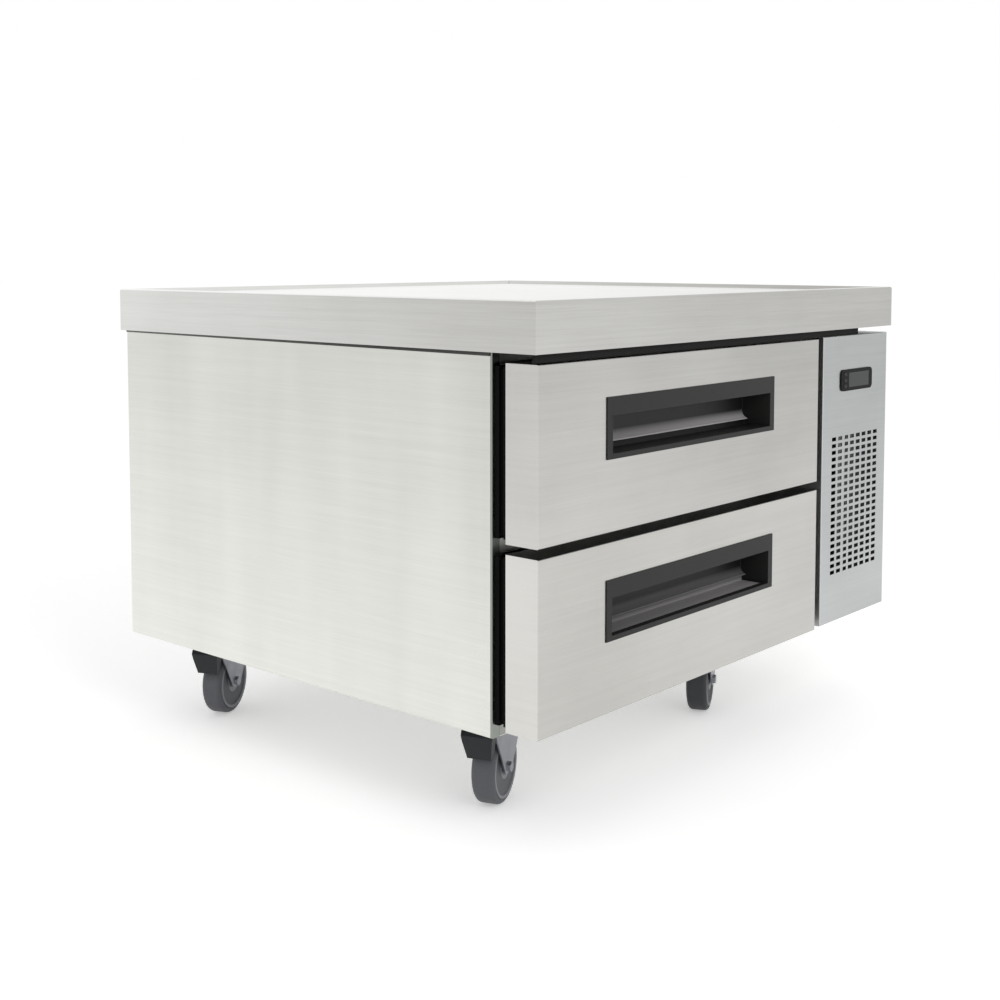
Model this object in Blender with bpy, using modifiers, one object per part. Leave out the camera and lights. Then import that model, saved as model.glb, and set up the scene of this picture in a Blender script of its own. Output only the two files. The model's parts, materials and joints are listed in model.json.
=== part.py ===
"""Refrigerated chef base: a low two-drawer refrigerated stand with a marine-edge worktop, a condensing
unit behind a louvred panel at the right, and four braked swivel castors. Metres, +Z up. The origin is
on the floor, under the middle of the overall box; +X is to the right and -Y to the front."""

from math import cos, pi, radians, sin

import bmesh
import bpy
from mathutils import Matrix, Vector

# Overall sizes
worktop_width = 0.924
worktop_depth = 0.839
overall_height = 0.676
castor_height = 0.133

# Worktop, a folded sheet with a raised marine edge
skirt_height = 0.064
worktop_sheet = 0.0015
marine_edge = 0.022
marine_slope = 0.006
recess_depth = 0.006

# Where the cabinet stands under the worktop
side_overhang = 0.0088
rear_overhang = 0.003
front_setback = 0.003

# Sheets, gaps and cutters
sheet = 0.0012
liner_sheet = 0.001
frame_sheet = 0.0015
fit_gap = 0.0003
overrun = 0.01
merge_distance = 0.00001

# Drawer fronts, control panel and what lies behind them
panel_width = 0.2138
panel_gap = 0.0158
panel_rise = 0.015
panel_top_gap = 0.0105
drawer_front_depth = 0.051
gasket_depth = 0.022
drawer_gap = 0.0125
lower_front_rise = 0.013
front_top_gap = 0.0125

# Insulated storage space
opening_side = 0.0484
opening_margin = 0.0035
gasket_inset = 0.0045
gasket_width = 0.020
floor_insulation = 0.036
ceiling_insulation = 0.076
rear_insulation = 0.050

# Evaporator cover at the back of the storage space
cover_depth = 0.100
cover_rise = 0.055
cover_top_gap = 0.075
cover_side_gap = 0.045

# Telescopic slides
channel_height = 0.046
channel_depth = 0.012
slide_gap = 0.0006
slide_start = 0.004
slide_rear_gap = 0.0124
frame_top_gap = 0.0095
frame_end_gap = 0.0135
pan_frame_height = 0.045
pan_ledge = 0.0185
pan_bar = 0.018
front_pan_share = 0.557

# Planes that several pieces share
body_width = worktop_width - 2 * side_overhang
body_half = body_width / 2
drawer_width = body_width - panel_width - panel_gap
opening_width = drawer_width - 2 * opening_side
worktop_front = -worktop_depth / 2
worktop_rear = worktop_depth / 2
face_front = worktop_front + front_setback
face_back = face_front + drawer_front_depth
body_front = face_back + gasket_depth
body_rear = worktop_rear - rear_overhang
body_bottom = castor_height
skirt_bottom = overall_height - skirt_height
deck_top = overall_height - recess_depth
body_top = deck_top - worktop_sheet - fit_gap
drawer_left = -body_half
drawer_right = drawer_left + drawer_width
drawer_middle = (drawer_left + drawer_right) / 2
panel_left = drawer_right + panel_gap
panel_right = body_half
divider_left = drawer_right + (panel_gap - sheet) / 2
divider_right = divider_left + sheet
lower_front_bottom = body_bottom + lower_front_rise
upper_front_top = skirt_bottom - front_top_gap
drawer_front_height = (upper_front_top - lower_front_bottom - drawer_gap) / 2
lower_front_top = lower_front_bottom + drawer_front_height
upper_front_bottom = lower_front_top + drawer_gap
panel_bottom = body_bottom + panel_rise
panel_top = skirt_bottom - panel_top_gap
panel_middle = (panel_left + panel_right) / 2
inner_left = drawer_middle - opening_width / 2
inner_right = drawer_middle + opening_width / 2
core_bottom = body_bottom + sheet + fit_gap
core_top = body_top - sheet - fit_gap
core_front = body_front + frame_sheet + fit_gap
core_rear = body_rear - sheet - fit_gap
inner_floor = core_bottom + floor_insulation
inner_ceiling = core_top - ceiling_insulation
inner_rear = core_rear - rear_insulation
cover_left = inner_left + cover_side_gap
cover_right = inner_right - cover_side_gap
cover_bottom = inner_floor + cover_rise
cover_top = inner_ceiling - cover_top_gap
cover_back = inner_rear - fit_gap
cover_front = cover_back - cover_depth
seal_margin = gasket_inset + gasket_width + opening_margin
fronts = {
    "upper": (upper_front_bottom, upper_front_top),
    "lower": (lower_front_bottom, lower_front_top),
}

# An empty file, with one collection for the parts and one for the cutters
for old in list(bpy.data.objects):
    bpy.data.objects.remove(old, do_unlink=True)
parts = bpy.data.collections.new("refrigerated_chef_base")
cutters = bpy.data.collections.new("cutters")
for group in (parts, cutters):
    bpy.context.scene.collection.children.link(group)


def look(name, colour, roughness, metallic):
    """A Principled material."""
    made = bpy.data.materials.new(name)
    made.use_nodes = True
    shader = made.node_tree.nodes["Principled BSDF"]
    shader.inputs["Base Color"].default_value = (*colour, 1)
    shader.inputs["Roughness"].default_value = roughness
    shader.inputs["Metallic"].default_value = metallic
    made.diffuse_color = (*colour, 1)
    return made


stainless = look("brushed_stainless", (0.62, 0.61, 0.59), 0.32, 1.0)
liner_steel = look("liner_stainless", (0.68, 0.68, 0.67), 0.28, 1.0)
galvanised = look("galvanised_steel", (0.48, 0.50, 0.52), 0.45, 1.0)
zinc = look("zinc_plated_steel", (0.45, 0.46, 0.48), 0.35, 1.0)
enamel = look("black_enamel", (0.02, 0.02, 0.022), 0.4, 0.0)
copper = look("copper", (0.72, 0.38, 0.22), 0.35, 1.0)
fins = look("aluminium_fins", (0.72, 0.73, 0.74), 0.4, 1.0)
foam = look("rigid_foam", (0.78, 0.68, 0.42), 0.9, 0.0)
black_plastic = look("black_plastic", (0.035, 0.035, 0.036), 0.42, 0.0)
key_plastic = look("key_plastic", (0.12, 0.12, 0.125), 0.5, 0.0)
fan_plastic = look("fan_plastic", (0.06, 0.06, 0.065), 0.5, 0.0)
gasket_rubber = look("gasket_rubber", (0.02, 0.02, 0.02), 0.7, 0.0)
tyre_rubber = look("grey_tyre", (0.09, 0.092, 0.105), 0.6, 0.0)
pedal_plastic = look("pedal_plastic", (0.02, 0.022, 0.028), 0.45, 0.0)


def add(name, mesh, finish, place, parent):
    """A named object of this mesh, placed under its parent."""
    piece = bpy.data.objects.new(name, mesh)
    if finish:
        mesh.materials.append(finish)
    piece.parent = parent
    piece.matrix_basis = place or Matrix()
    parts.objects.link(piece)
    return piece


def mesh_of(name, shape):
    """The mesh that a bmesh holds, which is then freed."""
    mesh = bpy.data.meshes.new(name)
    shape.to_mesh(mesh)
    shape.free()
    return mesh


def box_shape(low, high):
    """A bmesh box between two corners."""
    low, high = Vector(low), Vector(high)
    shape = bmesh.new()
    scale = Matrix.Diagonal((*(high - low), 1))
    bmesh.ops.create_cube(shape, size=1, matrix=Matrix.Translation((low + high) / 2) @ scale)
    return shape


def block(name, low, high, finish=None, place=None, parent=None):
    """A solid box between two corners."""
    return add(name, mesh_of(name, box_shape(low, high)), finish, place, parent)


def pan(name, low, high, open_side, wall, finish, radius=0, place=None, parent=None):
    """A box of sheet, open at one side, whose closed face has rounded edges. Its wall lies inside."""
    shape = box_shape(low, high)
    open_side = Vector(open_side)
    opened = [f for f in shape.faces if f.normal.dot(open_side) > 0.5]
    closed = [f for f in shape.faces if f.normal.dot(open_side) < -0.5]
    bmesh.ops.delete(shape, geom=opened, context="FACES_ONLY")
    if radius:
        bmesh.ops.bevel(shape, geom=closed[0].edges[:], offset=radius, segments=3, profile=0.5,
                        affect="EDGES")
    piece = add(name, mesh_of(name, shape), finish, place, parent)
    thicken(piece, wall)
    return piece


def thicken(piece, wall):
    """Gives an open sheet its wall, on the inner side."""
    solid = piece.modifiers.new("wall", "SOLIDIFY")
    solid.thickness = wall
    solid.offset = -1
    solid.use_even_offset = True


def rod(name, start, end, radius, sides=24, finish=None, place=None, parent=None, end_radius=None):
    """A round bar, or a cone where its end radius differs."""
    start, end = Vector(start), Vector(end)
    along = end - start
    turn = along.to_track_quat("Z", "Y").to_matrix().to_4x4()
    shape = bmesh.new()
    bmesh.ops.create_cone(shape, cap_ends=True, segments=sides, radius1=radius,
                          radius2=radius if end_radius is None else end_radius, depth=along.length,
                          matrix=Matrix.Translation((start + end) / 2) @ turn)
    return add(name, mesh_of(name, shape), finish, place, parent)


def turned(name, profile, closed, sides, finish, place=None, parent=None):
    """A turned shape about its own Z: (radius, height) points down the outer side, top to bottom."""
    mesh = bpy.data.meshes.new(name)
    edges = [(i, i + 1) for i in range(len(profile) - 1)]
    if closed:
        edges.append((len(profile) - 1, 0))
    mesh.from_pydata([(radius, 0, height) for radius, height in profile], edges, [])
    piece = add(name, mesh, finish, place, parent)
    screw = piece.modifiers.new("turn", "SCREW")
    screw.steps = screw.render_steps = sides
    screw.use_merge_vertices = True
    screw.merge_threshold = merge_distance
    return piece


def solid_curve(name, curve, finish, place, parent):
    """The welded mesh of a curve, as an object of its own."""
    drawn = bpy.data.objects.new(name, curve)
    parts.objects.link(drawn)
    bpy.context.view_layer.update()
    mesh = bpy.data.meshes.new_from_object(drawn.evaluated_get(bpy.context.evaluated_depsgraph_get()))
    bpy.data.objects.remove(drawn)
    shape = bmesh.new()
    shape.from_mesh(mesh)
    bmesh.ops.remove_doubles(shape, verts=shape.verts, dist=merge_distance)
    shape.to_mesh(mesh)
    shape.free()
    return add(name, mesh, finish, place, parent)


def outline(name, points, thickness, finish=None, place=None, parent=None):
    """A flat plate: an outline in its own X and Y, centred on its own Z."""
    curve = bpy.data.curves.new(name, "CURVE")
    curve.dimensions = "2D"
    curve.fill_mode = "BOTH"
    curve.extrude = thickness / 2
    line = curve.splines.new("POLY")
    line.points.add(len(points) - 1)
    for point, (x, y) in zip(line.points, points):
        point.co = (x, y, 0, 1)
    line.use_cyclic_u = True
    return solid_curve(name, curve, finish, place, parent)


def bent_tube(name, corners, bend, radius, finish):
    """A tube along straight runs whose corners are bent to one radius."""
    steps = 5
    corners = [Vector(c) for c in corners]
    path = [corners[0]]
    for before, here, after in zip(corners, corners[1:], corners[2:]):
        to_before, to_after = (before - here).normalized(), (after - here).normalized()
        first, last = here + to_before * bend, here + to_after * bend
        for i in range(steps + 1):
            t = i / steps
            path.append(first * (1 - t) ** 2 + here * 2 * t * (1 - t) + last * t**2)
    path.append(corners[-1])
    curve = bpy.data.curves.new(name, "CURVE")
    curve.dimensions = "3D"
    curve.bevel_depth = radius
    curve.bevel_resolution = 2
    curve.use_fill_caps = True
    line = curve.splines.new("POLY")
    line.points.add(len(path) - 1)
    for point, place in zip(line.points, path):
        point.co = (*place, 1)
    return solid_curve(name, curve, finish, None, None)


def put_aside(piece):
    """Moves an operand to the cutters' collection, out of the render."""
    if piece.name not in cutters.objects:
        cutters.objects.link(piece)
        parts.objects.unlink(piece)
    piece.hide_render = True
    piece.display_type = "WIRE"


def combine(piece, others, operation):
    """Adds one Boolean for each operand."""
    for other in others:
        boolean = piece.modifiers.new(other.name, "BOOLEAN")
        boolean.operation = operation
        boolean.solver = "EXACT"
        boolean.object = other
        put_aside(other)
    return piece


def cut(piece, *others):
    return combine(piece, others, "DIFFERENCE")


def join(piece, *others):
    return combine(piece, others, "UNION")


def many_boxes(name, boxes):
    """One operand that holds several boxes."""
    whole = bmesh.new()
    for low, high in boxes:
        low, high = Vector(low), Vector(high)
        scale = Matrix.Diagonal((*(high - low), 1))
        bmesh.ops.create_cube(whole, size=1, matrix=Matrix.Translation((low + high) / 2) @ scale)
    return add(name, mesh_of(name, whole), None, None, None)


def arc(centre, radius, start, end, steps):
    """Points on an arc, with angles in degrees."""
    angles = [radians(start + (end - start) * i / steps) for i in range(steps + 1)]
    return [(centre[0] + radius * cos(a), centre[1] + radius * sin(a)) for a in angles]


def upright(origin, turn=0.0):
    """A placing whose own X lies along a heading in plan, whose own Y is up and own Z across."""
    return Matrix.Translation(origin) @ Matrix.Rotation(turn, 4, "Z") @ Matrix.Rotation(pi / 2, 4, "X")


# Worktop
worktop_edge_radius = 0.003


def make_worktop():
    half = worktop_width / 2
    shape = box_shape((-half, worktop_front, skirt_bottom), (half, worktop_rear, overall_height))
    top = [f for f in shape.faces if f.normal.z > 0.5]
    rim = top[0].edges[:]
    under = [f for f in shape.faces if f.normal.z < -0.5]
    bmesh.ops.inset_region(shape, faces=top, thickness=marine_edge)
    bmesh.ops.inset_region(shape, faces=top, thickness=marine_slope)
    bmesh.ops.translate(shape, verts=top[0].verts, vec=(0, 0, -recess_depth))
    bmesh.ops.delete(shape, geom=under, context="FACES_ONLY")
    bmesh.ops.bevel(shape, geom=rim, offset=worktop_edge_radius, segments=3, profile=0.5, affect="EDGES")
    thicken(add("worktop", mesh_of("worktop", shape), stainless, None, None), worktop_sheet)


# Outer cabinet: two side panels with returns, base, back with vents, front frame, divider
panel_return = 0.014
corner_radius = 0.002
vent_count = 11
vent_width, vent_height, vent_pitch = 0.150, 0.009, 0.024
vent_rise = 0.160
machine_edge = 0.012


def make_cabinet():
    for side, sign in (("left", -1), ("right", 1)):
        outer, inner = sign * body_half, sign * (body_half - panel_return)
        pan(f"{side}_side_panel", (min(outer, inner), body_front, body_bottom),
            (max(outer, inner), body_rear, body_top), (-sign, 0, 0), sheet, stainless, corner_radius)
    half = body_half - panel_return - fit_gap
    block("base_pan", (-half, body_front, body_bottom), (half, body_rear, body_bottom + sheet), stainless)

    inlet_hole = inlet_radius + fit_gap
    back = block("back_panel", (-half, body_rear - sheet, core_bottom), (half, body_rear, core_top),
                 stainless)
    vents = []
    for i in range(vent_count):
        bottom = body_bottom + vent_rise + i * vent_pitch
        vents.append(((panel_middle - vent_width / 2, body_rear - overrun, bottom),
                      (panel_middle + vent_width / 2, body_rear + overrun, bottom + vent_height)))
    cut(back, many_boxes("vent_cutter", vents),
        rod("inlet_cutter", (inlet_x, body_rear - overrun, inlet_z), (inlet_x, body_rear + overrun, inlet_z),
            inlet_hole))

    frame = block("front_frame", (-half, body_front, core_bottom), (half, body_front + frame_sheet, core_top),
                  stainless)
    openings = []
    for bottom, top in fronts.values():
        openings.append(((inner_left, body_front - overrun, bottom + seal_margin),
                         (inner_right, body_front + overrun, top - seal_margin)))
    openings.append(((divider_right + machine_edge, body_front - overrun, panel_bottom + machine_edge),
                     (half - machine_edge, body_front + overrun, panel_top - machine_edge)))
    cut(frame, many_boxes("opening_cutter", openings))

    divider = block("divider_panel", (divider_left, core_front, core_bottom),
                    (divider_right, core_rear, core_top), galvanised)
    cut(divider, line_hole)


# Insulation and the inner liner, both open at the front
def make_insulation():
    clear = liner_sheet + fit_gap
    insulation = block("insulation", (-body_half + sheet + fit_gap, core_front, core_bottom),
                       (divider_left - fit_gap, core_rear, core_top), foam)
    hollow = block("hollow_cutter", (inner_left - clear, core_front - overrun, inner_floor - clear),
                   (inner_right + clear, inner_rear + clear, inner_ceiling + clear))
    cut(insulation, hollow, line_hole)
    liner = block("inner_liner", (inner_left - liner_sheet, core_front, inner_floor - liner_sheet),
                  (inner_right + liner_sheet, inner_rear + liner_sheet, inner_ceiling + liner_sheet),
                  liner_steel)
    inside = block("liner_cutter", (inner_left, core_front - overrun, inner_floor),
                   (inner_right, inner_rear, inner_ceiling))
    cut(liner, inside, line_hole)


# One refrigerant line crosses from the cooled space to the machine space through this hole
line_radius = 0.005
line_hole_radius = 0.008
line_from_rear = 0.026
line_rise = 0.130
line_y = inner_rear - line_from_rear
line_z = inner_floor + line_rise
line_hole = rod("line_hole_cutter", (inner_right - cover_side_gap - overrun, line_y, line_z),
                (divider_right + overrun, line_y, line_z), line_hole_radius)

# Cord bushing in the back panel, at the lower right
inlet_radius = 0.011
inlet_from_side = 0.050
inlet_rise = 0.070
inlet_x = body_half - inlet_from_side
inlet_z = body_bottom + inlet_rise
inlet_flange = 0.0025
cord_radius = 0.0045
inlet_tail = 0.006


def make_power_inlet():
    proud = rear_overhang - fit_gap * 2
    behind = sheet + fit_gap
    profile = [
        (cord_radius, proud), (inlet_radius + inlet_flange, proud), (inlet_radius + inlet_flange, fit_gap),
        (inlet_radius, fit_gap), (inlet_radius, -behind), (inlet_radius + inlet_flange / 2, -behind),
        (inlet_radius - inlet_flange / 2, -behind - inlet_tail), (cord_radius, -behind - inlet_tail),
    ]
    place = Matrix.Translation((inlet_x, body_rear, inlet_z)) @ Matrix.Rotation(-pi / 2, 4, "X")
    turned("power_inlet", profile, True, 20, black_plastic, place)


# Slides: a fixed channel, a middle channel at half travel, and a runner on the pan frame
post_sheet = 0.0015
wall_x = opening_width / 2 - fit_gap
channel_web = wall_x - post_sheet
mid_outer = channel_web - frame_sheet - slide_gap
mid_height = channel_height - 2 * (frame_sheet + slide_gap)
mid_depth = channel_depth - frame_sheet - slide_gap
runner_outer = mid_outer - frame_sheet - slide_gap
runner_height = mid_height - 2 * (frame_sheet + slide_gap)
frame_half = channel_web - channel_depth - 2 * slide_gap - frame_sheet / 2
slide_front = core_front + slide_start
slide_length = cover_front - slide_rear_gap - slide_front


def slide_middle(top):
    """The height of a drawer's slides, from the top of its front."""
    return top - seal_margin - frame_top_gap - pan_frame_height / 2


def spread(sign, outer, inner):
    """Low and high X of a span on one side of the drawers' middle."""
    ends = (drawer_middle + sign * outer, drawer_middle + sign * inner)
    return min(ends), max(ends)


def channel(name, sign, outer, depth, height, middle, start, length, finish):
    """A channel of sheet along Y, open towards the drawer."""
    low, high = spread(sign, outer, outer - depth)
    piece = block(name, (low, start, middle - height / 2), (high, start + length, middle + height / 2),
                  finish)
    low, high = spread(sign, outer - frame_sheet, outer - depth - overrun)
    inside = middle - height / 2 + frame_sheet, middle + height / 2 - frame_sheet
    hollow = block(name + "_cutter", (low, start - overrun, inside[0]),
                   (high, start + length + overrun, inside[1]))
    return cut(piece, hollow)


post_width = 0.026
post_shares = (0.06, 0.90)
post_end_gap = 0.004


def make_slides():
    for side, sign in (("left", -1), ("right", 1)):
        rack = None
        for level, (bottom, top) in fronts.items():
            middle = slide_middle(top)
            fixed = channel(f"{side}_slide_rack" if rack is None else f"{side}_{level}_fixed_channel", sign,
                            channel_web, channel_depth, channel_height, middle, slide_front, slide_length,
                            galvanised)
            if rack is None:
                rack = fixed
            else:
                join(rack, fixed)
            channel(f"{level}_{side}_mid_rail", sign, mid_outer, mid_depth, mid_height, middle, slide_front,
                    slide_length, zinc)
        for i, share in enumerate(post_shares):
            low, high = spread(sign, wall_x, channel_web - frame_sheet / 2)
            start = slide_front + share * slide_length
            post = block(f"{side}_post_{i}", (low, start, inner_floor + post_end_gap),
                         (high, start + post_width, inner_ceiling - post_end_gap))
            join(rack, post)


# Drawer fronts, cores, handles, gaskets and pan frames
handle_width = 0.408
handle_height = 0.0795
handle_drop = 0.048
handle_proud = 0.0015
handle_flange = 0.005
handle_depth = 0.0445
handle_rim = 0.007
handle_lip = 0.024
lip_thickness = 0.003
pocket_depth = 0.042
pocket_side = 0.012
pocket_taper = 0.007
scoop_height = 0.0125
scoop_reach = 0.009
scoop_rise = 0.0105
scoop_edge = 0.002
groove_inset = 0.003
front_edge_radius = 0.0015


def make_drawer_front(level, bottom, top):
    skin = pan(f"{level}_drawer_front", (drawer_left, face_front, bottom), (drawer_right, face_back, top),
               (0, 1, 0), sheet, stainless, front_edge_radius)
    handle_top = top - handle_drop
    handle_bottom = handle_top - handle_height
    left, right = drawer_middle - handle_width / 2, drawer_middle + handle_width / 2
    reach = handle_flange - fit_gap
    hole = block(f"{level}_handle_hole", (left + reach, face_front - overrun, handle_bottom + reach),
                 (right - reach, face_front + handle_depth + fit_gap, handle_top - reach))
    cut(skin, hole)
    inset = sheet + fit_gap
    core = block(f"{level}_drawer_core", (drawer_left + inset, face_front + inset, bottom + inset),
                 (drawer_right - inset, face_back, top - inset), foam)
    cut(core, hole)
    make_handle(level, left, right, handle_bottom, handle_top)


def make_handle(level, left, right, bottom, top):
    """A moulded pull: a thin bezel, a grip lip across its top and a scooped pocket behind."""
    front = face_front - handle_proud
    handle = block(f"{level}_drawer_handle", (left, front, bottom), (right, face_front - fit_gap, top),
                   black_plastic)
    housing = block(f"{level}_handle_housing",
                    (left + handle_flange, front + handle_proud / 2, bottom + handle_flange),
                    (right - handle_flange, face_front + handle_depth, top - handle_flange))
    floor = bottom + handle_rim
    ceiling = top - handle_flange - handle_rim
    back = face_front + pocket_depth
    lip_back = front + lip_thickness
    groove = back - groove_inset
    edge = floor + scoop_rise
    scoop = [(back - scoop_reach * (1 - cos(a)), edge + scoop_height * (1 - sin(a)))
             for a in [radians(90 * i / 6) for i in range(7)]]
    profile = [(front - overrun, floor), (front - overrun, top - handle_lip), (lip_back, top - handle_lip),
               (lip_back, ceiling), (back, ceiling)] + scoop
    profile += [(back - scoop_reach, edge - scoop_edge), (groove, edge - scoop_edge), (groove, floor)]
    middle = (left + right) / 2
    across = Matrix(((0, 0, 1, middle), (1, 0, 0, 0), (0, 1, 0, 0), (0, 0, 0, 1)))
    pocket = outline(f"{level}_pocket", profile, handle_width, place=across)
    wide, narrow = handle_width / 2 - pocket_side, handle_width / 2 - pocket_side - pocket_taper
    plan = [(middle - wide, front - overrun), (middle + wide, front - overrun), (middle + wide, lip_back),
            (middle + narrow, back + overrun), (middle - narrow, back + overrun), (middle - wide, lip_back)]
    taper = outline(f"{level}_pocket_taper", plan, handle_height * 2,
                    place=Matrix.Translation((0, 0, (bottom + top) / 2)))
    combine(pocket, [taper], "INTERSECT")
    cut(join(handle, housing), pocket)


gasket_bulb = 0.004
groove_share = 0.33


def make_gasket(level, bottom, top):
    """A ring of magnetic door seal between the drawer front and the front frame."""
    front, back = face_back + fit_gap, body_front - fit_gap
    low = Vector((drawer_left + gasket_inset, front, bottom + gasket_inset))
    high = Vector((drawer_right - gasket_inset, back, top - gasket_inset))
    seal = block(f"{level}_gasket", low, high, gasket_rubber)
    across = Vector((gasket_width, 0, gasket_width))
    through = Vector((0, overrun, 0))
    cut(seal, block(f"{level}_gasket_inside", low + across - through, high - across + through))
    step = Vector((gasket_bulb, 0, gasket_bulb))
    groove = Vector((0, (high.y - low.y) * groove_share, 0))
    ring = block(f"{level}_gasket_groove", low - step + groove, high + step - groove)
    cut(ring, block(f"{level}_gasket_neck", low + step - through, high - step + through))
    cut(seal, ring)


def make_pan_frame(level, top):
    """The frame that carries food pans, with a runner at each side."""
    frame_top = top - seal_margin - frame_top_gap
    frame_bottom = frame_top - pan_frame_height
    front = face_back + fit_gap
    back = slide_front + slide_length - frame_end_gap
    low = (drawer_middle - frame_half, front, frame_bottom)
    high = (drawer_middle + frame_half, back, frame_top)
    frame = block(f"{level}_pan_frame", low, high, stainless)
    half_in = frame_half - frame_sheet
    under = block(f"{level}_frame_under",
                  (drawer_middle - half_in, front + frame_sheet, frame_bottom - overrun),
                  (drawer_middle + half_in, back - frame_sheet, frame_top - frame_sheet))
    half_hole = frame_half - pan_ledge
    first_end = front + pan_ledge + (back - front - 2 * pan_ledge - pan_bar) * front_pan_share
    holes = [((drawer_middle - half_hole, start, frame_bottom - overrun),
              (drawer_middle + half_hole, end, frame_top + overrun))
             for start, end in ((front + pan_ledge, first_end), (first_end + pan_bar, back - pan_ledge))]
    cut(frame, under, many_boxes(f"{level}_pan_holes", holes))
    height = slide_middle(top)
    for side, sign in (("left", -1), ("right", 1)):
        x_low, x_high = spread(sign, frame_half - frame_sheet / 2, runner_outer)
        runner = block(f"{level}_{side}_runner", (x_low, slide_front, height - runner_height / 2),
                       (x_high, back, height + runner_height / 2))
        x_low, x_high = spread(sign, frame_half + frame_sheet, runner_outer - frame_sheet)
        inside = block(f"{level}_{side}_runner_inside",
                       (x_low, slide_front - overrun, height - runner_height / 2 + frame_sheet),
                       (x_high, back + overrun, height + runner_height / 2 - frame_sheet))
        join(frame, cut(runner, inside))


# Control panel with its slots, controller and keys
controller_width = 0.104
controller_height = 0.034
controller_drop = 0.0712
controller_proud = 0.002
key_width = 0.009
key_height = 0.006
key_pitch = 0.0095
key_proud = 0.0007
key_travel = 0.0006
key_stem = 0.0022
key_from_edge = 0.013
grille_columns, grille_rows = 8, 21
grille_height_share, grille_rise_share = 0.4809, 0.1682
slot_width = 0.0135
slot_gap_x, slot_gap_z = 0.0064, 0.0046
case_width, case_height, case_depth = 0.092, 0.029, 0.055
window_width, window_height, window_depth = 0.068, 0.024, 0.0005
window_from_edge = 0.011
controller_z = panel_top - controller_drop
controller_face = face_front - controller_proud


def make_control_panel():
    panel = pan("control_panel", (panel_left, face_front, panel_bottom),
                (panel_right, body_front - fit_gap, panel_top), (0, 1, 0), sheet, stainless,
                front_edge_radius)
    panel_height = panel_top - panel_bottom
    pitch_x = slot_width + slot_gap_x
    pitch_z = (panel_height * grille_height_share + slot_gap_z) / grille_rows
    slot_height = pitch_z - slot_gap_z
    first_x = panel_middle - (grille_columns * pitch_x - slot_gap_x) / 2
    first_z = panel_bottom + panel_height * grille_rise_share
    slots = []
    for column in range(grille_columns):
        for row in range(grille_rows):
            x, z = first_x + column * pitch_x, first_z + row * pitch_z
            slots.append(((x, face_front - overrun, z),
                          (x + slot_width, face_front + overrun, z + slot_height)))
    cut(panel, many_boxes("slot_cutter", slots))

    hole_half, hole_rise = case_width / 2 + fit_gap * 2, case_height / 2 + fit_gap * 2
    cut(panel, block("controller_hole",
                     (panel_middle - hole_half, face_front - overrun, controller_z - hole_rise),
                     (panel_middle + hole_half, face_front + overrun, controller_z + hole_rise)))
    case = block("controller_case", (panel_middle - controller_width / 2, controller_face,
                                     controller_z - controller_height / 2),
                 (panel_middle + controller_width / 2, face_front - fit_gap,
                  controller_z + controller_height / 2), black_plastic)
    body = block("controller_body", (panel_middle - case_width / 2, controller_face + controller_proud / 2,
                                     controller_z - case_height / 2),
                 (panel_middle + case_width / 2, controller_face + case_depth,
                  controller_z + case_height / 2))
    join(case, body)
    window_left = panel_middle + controller_width / 2 - window_from_edge - window_width
    cut(case, block("window_cutter",
                    (window_left, controller_face - overrun, controller_z - window_height / 2),
                    (window_left + window_width, controller_face + window_depth,
                     controller_z + window_height / 2)))
    key_x = panel_middle - controller_width / 2 + key_from_edge
    key_back = controller_face + key_stem
    for i, name in enumerate(("down_key", "set_key", "up_key")):
        z = controller_z + (i - 1) * key_pitch
        half_w, half_h = key_width / 2, key_height / 2
        pocket = block(name + "_pocket",
                       (key_x - half_w - fit_gap, controller_face - overrun, z - half_h - fit_gap),
                       (key_x + half_w + fit_gap, key_back + key_travel + fit_gap, z + half_h + fit_gap))
        cut(case, pocket)
        block(name, (-half_w, -key_proud, -half_h), (half_w, key_stem, half_h), key_plastic,
              Matrix.Translation((key_x, controller_face, z)))


# Condensing unit in the machine space
unit_side_gap = 0.006
unit_left = divider_right + unit_side_gap
unit_right = body_half - sheet - unit_side_gap
unit_middle = (unit_left + unit_right) / 2
unit_floor = core_bottom + fit_gap
tray_height = 0.014
coil_margin = 0.009
coil_depth = 0.044
coil_height = 0.280
coil_setback = 0.018
coil_front = core_front + coil_setback
coil_back = coil_front + coil_depth
coil_left = unit_left + coil_margin
coil_right = unit_right - coil_margin
coil_bottom = unit_floor + tray_height
coil_top = coil_bottom + coil_height
shroud_depth = 0.036
shroud_front = coil_back + fit_gap
shroud_back = shroud_front + shroud_depth
fan_radius = 0.080
fan_ring_gap = 0.006
fan_z = (coil_bottom + coil_top) / 2
compressor_radius = 0.072
compressor_height = 0.185
compressor_from_rear = 0.340
compressor_y = core_rear - compressor_from_rear
foot_height = 0.010
compressor_bottom = unit_floor + sheet + fit_gap


def comb(name, left, right, front, back, bottom, top, count, finish):
    """A finned block: a row of thin fins across X that stand out of one slab, front and back."""
    fin_share, slab_share = 0.45, 0.3
    width, depth = right - left, back - front
    pitch = width / (count - 1 + fin_share)
    fin = pitch * fin_share
    slab_front = front + depth * (1 - slab_share) / 2
    slab_back = back - depth * (1 - slab_share) / 2
    near, far = [], []
    for i in range(count):
        x = left + i * pitch
        near += [(x, slab_front), (x, front), (x + fin, front), (x + fin, slab_front)]
        far += [(x, slab_back), (x, back), (x + fin, back), (x + fin, slab_back)]
    near, far = near[1:-1], far[1:-1]
    place = Matrix.Translation((0, 0, (bottom + top) / 2))
    outline(name, near + far[::-1], top - bottom, finish, place)


blade_sheet = 0.0015


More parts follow.
